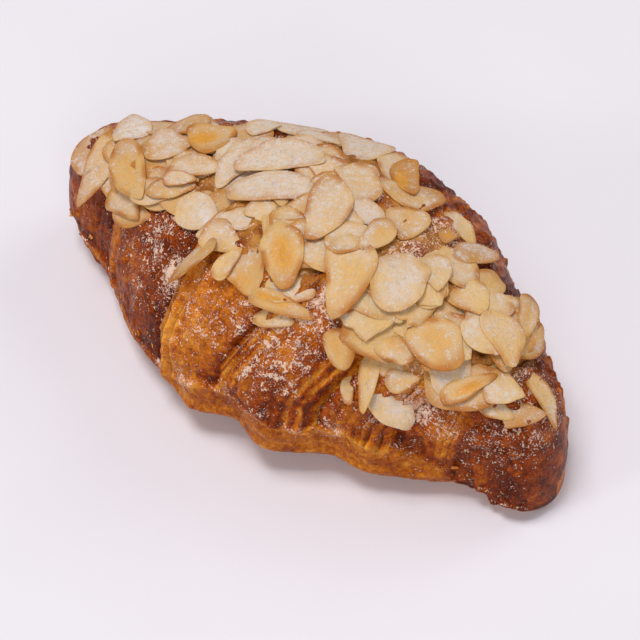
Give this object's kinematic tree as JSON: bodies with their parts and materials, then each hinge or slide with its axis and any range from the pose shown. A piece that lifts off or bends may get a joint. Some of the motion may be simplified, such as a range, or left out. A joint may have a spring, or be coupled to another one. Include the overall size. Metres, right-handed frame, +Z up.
{
  "type": "almond croissant",
  "caption": "Whole almond croissant: a baked roll of wrapped pastry layers with a flat base and a crust of sliced almond flakes on top.",
  "frame": {"origin": "on the flat underside, below the middle of the roll", "axes": "+X along the roll towards the bare knobbly tip, -Y towards the front that shows the creases, +Z up"},
  "size_m": [0.15, 0.0838, 0.0567],
  "materials": {
    "baked_pastry": null,
    "sliced_almond": "toasted slices of blanched almond, waxy cream with golden middles",
    "icing_sugar": "dusted icing sugar, dull white powder"
  },
  "bodies": {
    "root": {"croissant": "baked_pastry"}
  },
  "joints": []
}
